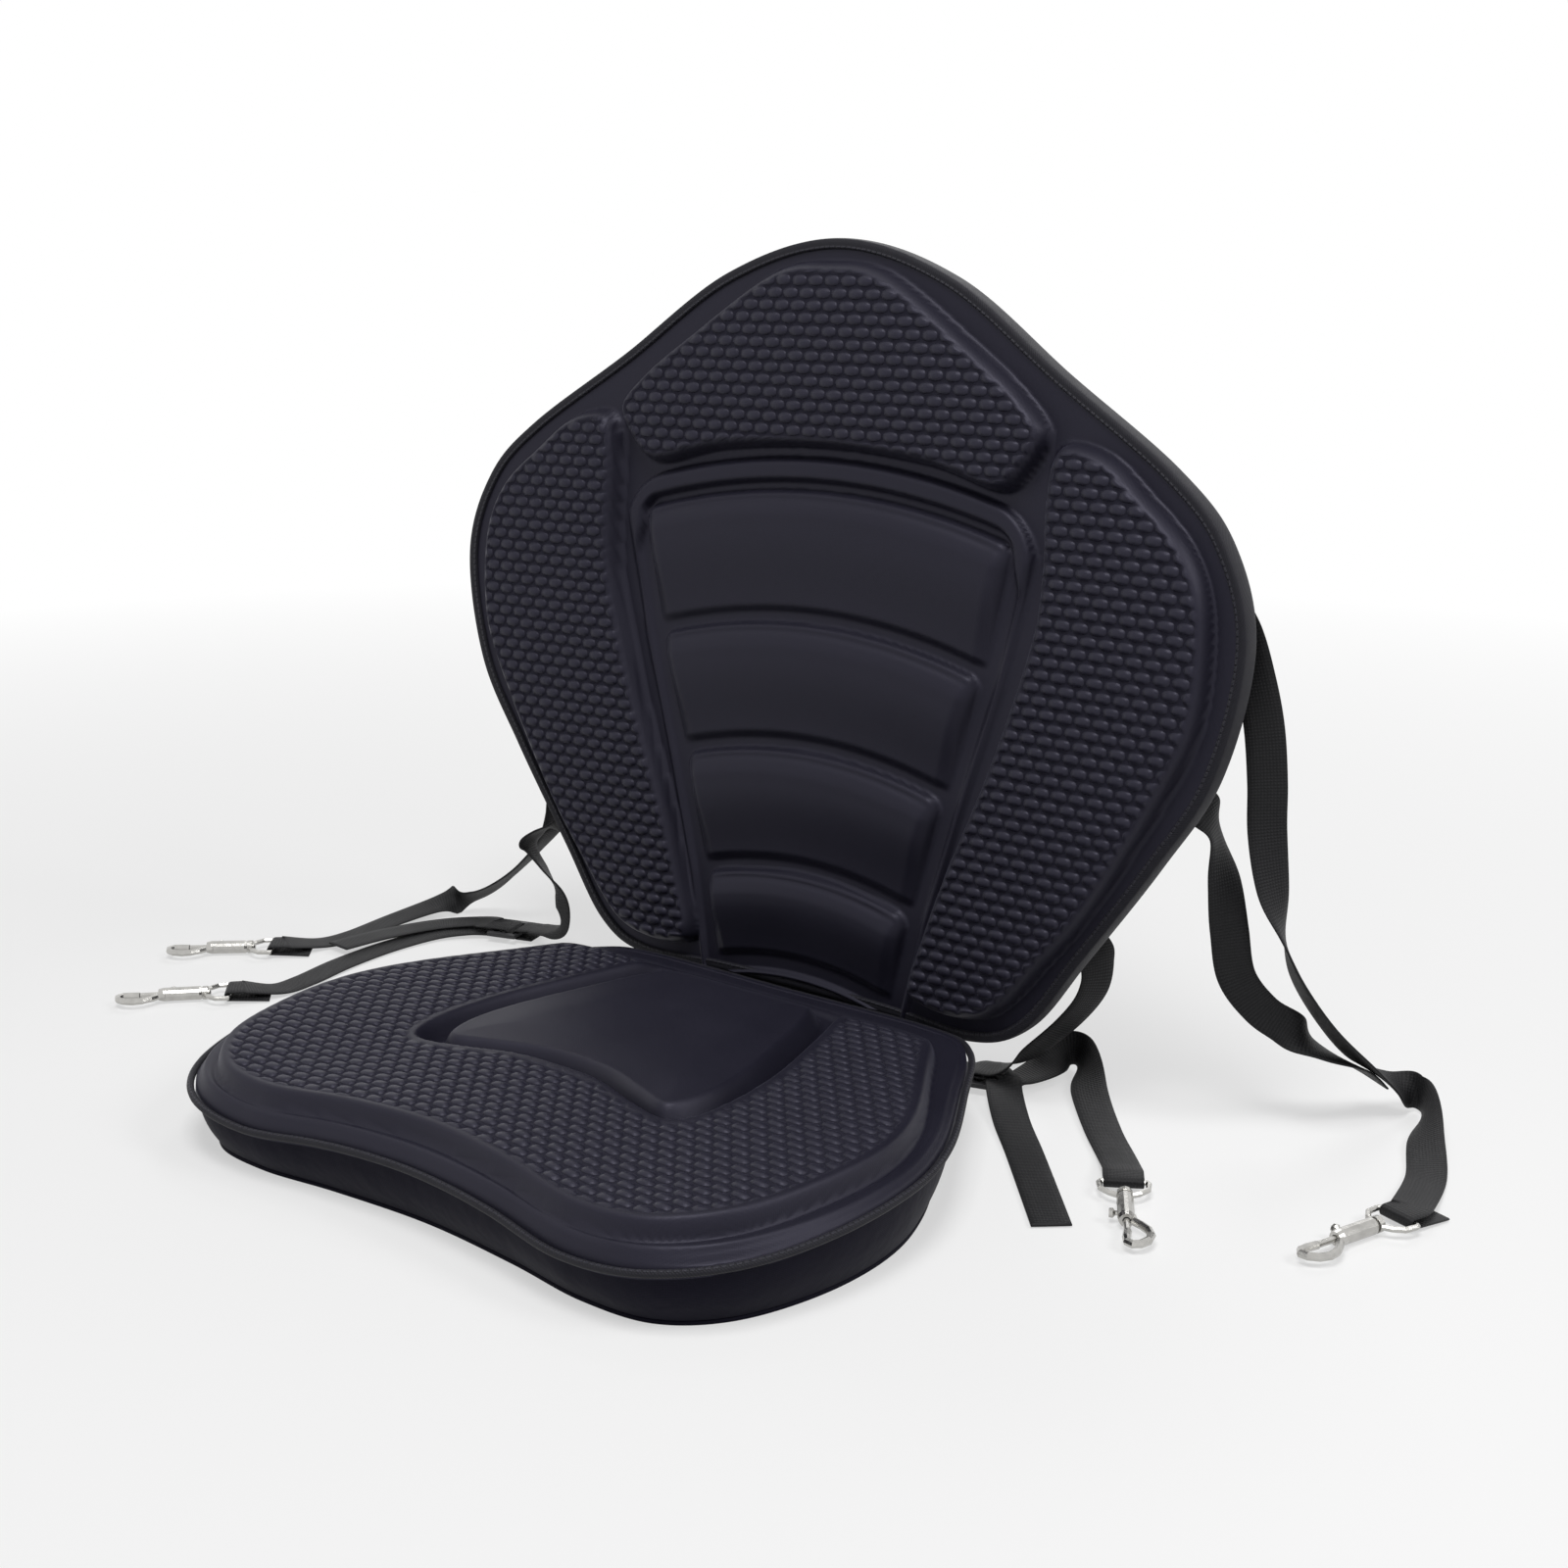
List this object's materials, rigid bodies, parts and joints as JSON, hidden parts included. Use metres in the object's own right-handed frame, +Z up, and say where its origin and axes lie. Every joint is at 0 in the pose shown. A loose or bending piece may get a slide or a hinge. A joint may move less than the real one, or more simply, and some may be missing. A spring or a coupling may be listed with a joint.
{
  "type": "kayak seat",
  "caption": "Padded kayak seat with a folding backrest, moulded raised pads, webbing straps with adjusters and swivel snap hooks.",
  "frame": {"origin": "on the underside of the seat, in its plane of symmetry, below the middle of the seat", "axes": "+Z up, -Y towards the front of the seat, X across"},
  "size_m": [0.8051, 0.4446, 0.4541],
  "materials": {
    "moulded_foam_cloth": "moulded, satin",
    "band_cloth": "smooth",
    "binding_tape": "woven",
    "foam": "matt",
    "stiffener_board": "matt",
    "webbing": "ribbed weave",
    "moulded_plastic": "moulded",
    "nickel_plate": "polished"
  },
  "bodies": {
    "seat": {"seat_top_panel": "moulded_foam_cloth", "seat_core": "foam", "seat_side_band": "band_cloth", "seat_bottom_cover": "band_cloth", "seat_piping": "binding_tape", "hinge_web": "binding_tape", "strap_rear_right": "webbing", "strap_rear_right_brace": "webbing", "strap_rear_left": "webbing", "strap_rear_left_brace": "webbing", "strap_anchor_right": "webbing", "strap_anchor_left": "webbing", "strap_front_right": "webbing", "strap_front_left": "webbing", "adjuster_right": "moulded_plastic", "adjuster_left": "moulded_plastic"},
    "backrest": {"back_front_panel": "moulded_foam_cloth", "back_stiffener": "stiffener_board", "back_rear_cover": "band_cloth", "back_edge_binding": "binding_tape"},
    "hook_rear_right_eye": {"hook_rear_right_eye": "nickel_plate"},
    "hook_rear_right_body": {"hook_rear_right_body": "nickel_plate"},
    "hook_rear_right_bolt": {"hook_rear_right_bolt": "nickel_plate"},
    "hook_rear_left_eye": {"hook_rear_left_eye": "nickel_plate"},
    "hook_rear_left_body": {"hook_rear_left_body": "nickel_plate"},
    "hook_rear_left_bolt": {"hook_rear_left_bolt": "nickel_plate"},
    "hook_front_right_eye": {"hook_front_right_eye": "nickel_plate"},
    "hook_front_right_body": {"hook_front_right_body": "nickel_plate"},
    "hook_front_right_bolt": {"hook_front_right_bolt": "nickel_plate"},
    "hook_front_left_eye": {"hook_front_left_eye": "nickel_plate"},
    "hook_front_left_body": {"hook_front_left_body": "nickel_plate"},
    "hook_front_left_bolt": {"hook_front_left_bolt": "nickel_plate"}
  },
  "joints": [
    {"name": "backrest_fold", "type": "hinge", "parent": "seat", "child": "backrest", "pos_m": [0, 0.148, 0.0545], "axis": [1, 0, 0], "range_deg": [-28, 90], "deforming": ["hinge_web", "strap_rear_right", "strap_rear_right_brace", "strap_rear_left", "strap_rear_left_brace", "strap_anchor_right", "strap_anchor_left"]},
    {"name": "hook_rear_right_eye_pivot", "type": "hinge", "parent": "seat", "child": "hook_rear_right_eye", "pos_m": [0.366, 0.15, 0.005], "axis": [-0.9435, 0.3312, 0], "range_deg": [-100, 100]},
    {"name": "hook_rear_right_body_swivel", "type": "hinge", "parent": "hook_rear_right_eye", "child": "hook_rear_right_body", "pos_m": [0.36103, 0.13585, 0.005], "axis": [-0.3312, -0.9435, 0], "continuous": true},
    {"name": "hook_rear_right_bolt_slide", "type": "slide", "parent": "hook_rear_right_body", "child": "hook_rear_right_bolt", "axis": [0.3312, 0.9435, 0], "range_m": [0, 0.008], "stiffness_N_per_m": 300, "springref_m": -0.003},
    {"name": "hook_rear_left_eye_pivot", "type": "hinge", "parent": "seat", "child": "hook_rear_left_eye", "pos_m": [-0.371, 0.074, 0.005], "axis": [-0.6606, 0.7507, 0], "range_deg": [-100, 100]},
    {"name": "hook_rear_left_body_swivel", "type": "hinge", "parent": "hook_rear_left_eye", "child": "hook_rear_left_body", "pos_m": [-0.38226, 0.06409, 0.005], "axis": [-0.7507, -0.6606, 0], "continuous": true},
    {"name": "hook_rear_left_bolt_slide", "type": "slide", "parent": "hook_rear_left_body", "child": "hook_rear_left_bolt", "axis": [0.7507, 0.6606, 0], "range_m": [0, 0.008], "stiffness_N_per_m": 300, "springref_m": -0.003},
    {"name": "hook_front_right_eye_pivot", "type": "hinge", "parent": "seat", "child": "hook_front_right_eye", "pos_m": [0.244, 0.103, 0.005], "axis": [-0.853, -0.5219, 0], "range_deg": [-100, 100]},
    {"name": "hook_front_right_body_swivel", "type": "hinge", "parent": "hook_front_right_eye", "child": "hook_front_right_body", "pos_m": [0.25183, 0.0902, 0.005], "axis": [0.5219, -0.853, 0], "continuous": true},
    {"name": "hook_front_right_bolt_slide", "type": "slide", "parent": "hook_front_right_body", "child": "hook_front_right_bolt", "axis": [-0.5219, 0.853, 0], "range_m": [0, 0.008], "stiffness_N_per_m": 300, "springref_m": -0.003},
    {"name": "hook_front_left_eye_pivot", "type": "hinge", "parent": "seat", "child": "hook_front_left_eye", "pos_m": [-0.324, 0.003, 0.005], "axis": [-0.722, 0.6919, 0], "range_deg": [-100, 100]},
    {"name": "hook_front_left_body_swivel", "type": "hinge", "parent": "hook_front_left_eye", "child": "hook_front_left_body", "pos_m": [-0.33438, -0.00783, 0.005], "axis": [-0.6919, -0.722, 0], "continuous": true},
    {"name": "hook_front_left_bolt_slide", "type": "slide", "parent": "hook_front_left_body", "child": "hook_front_left_bolt", "axis": [0.6919, 0.722, 0], "range_m": [0, 0.008], "stiffness_N_per_m": 300, "springref_m": -0.003}
  ]
}
